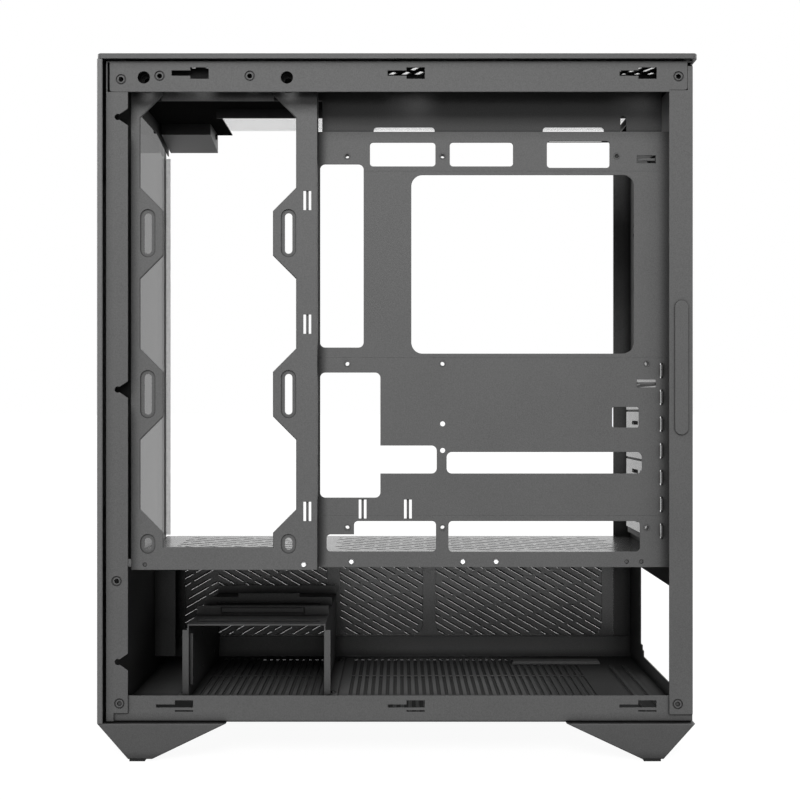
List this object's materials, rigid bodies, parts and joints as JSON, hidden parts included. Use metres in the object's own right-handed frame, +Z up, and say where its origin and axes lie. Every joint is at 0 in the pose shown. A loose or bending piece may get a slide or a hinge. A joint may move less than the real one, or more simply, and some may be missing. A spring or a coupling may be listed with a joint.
{
  "type": "computer case",
  "caption": "Tower computer case in black-grey steel with both side panels off: board tray, fan bracket, slitted lower chamber, drive cage, front glass and wedge feet.",
  "frame": {"origin": "on the surface the case stands on, under the middle of its width and of its depth", "axes": "+Z up, -Y towards the front glass, +X towards the open cable side"},
  "size_m": [0.223, 0.4392, 0.518],
  "materials": {
    "steel": "fine matt powder coat, black-grey",
    "lid": "satin black-grey",
    "mesh": "fine dark dust mesh",
    "dust_sheet": "dense dark dust sheet",
    "glass": "clear tinted, polished",
    "strip": "translucent",
    "studs": "matt",
    "housing": "matt moulded",
    "board": "solder mask",
    "button": "satin",
    "bright_metal": "plated",
    "jack": "matt",
    "dark_screw": "black oxide",
    "foot": "matt moulded",
    "pad": "matt"
  },
  "bodies": {
    "case": {"base_pan": "steel", "front_frame": "steel", "rear_panel": "steel", "column_pad": "steel", "top_plate": "steel", "motherboard_tray": "steel", "tray_top_bar": "steel", "tray_cable_panel": "steel", "tray_bottom_bar": "steel", "rear_recess": "steel", "tray_top_wall": "steel", "fan_bracket": "steel", "psu_shroud": "steel", "drive_cage": "steel", "slot_cover_1": "steel", "slot_cover_2": "steel", "slot_cover_3": "steel", "slot_cover_4": "steel", "slot_cover_5": "steel", "slot_cover_6": "steel", "slot_cover_7": "steel", "top_lid": "lid", "top_filter": "mesh", "side_filter": "dust_sheet", "floor_filter": "dust_sheet", "front_glass": "glass", "glass_edge_strip": "strip", "glass_studs": "studs", "port_housing": "housing", "port_board": "board", "button_switches": "housing", "usb_port_1": "bright_metal", "usb_port_2": "bright_metal", "audio_jack": "jack", "cover_screws": "dark_screw", "housing_screw": "dark_screw", "cage_screws": "dark_screw", "standoffs": "steel", "flange_rivets": "bright_metal", "foot_front_near": "foot", "foot_pad_front_near": "pad", "foot_front_far": "foot", "foot_pad_front_far": "pad", "foot_rear_near": "foot", "foot_pad_rear_near": "pad", "foot_rear_far": "foot", "foot_pad_rear_far": "pad"},
    "power_button": {"power_button": "button"},
    "reset_button": {"reset_button": "button"}
  },
  "joints": [
    {"name": "power_press", "type": "slide", "parent": "case", "child": "power_button", "axis": [0, 0, -1], "range_m": [0, 0.0008], "stiffness_N_per_m": 400, "springref_m": -0.0005},
    {"name": "reset_press", "type": "slide", "parent": "case", "child": "reset_button", "axis": [0, 0, -1], "range_m": [0, 0.0008], "stiffness_N_per_m": 400, "springref_m": -0.0005}
  ]
}
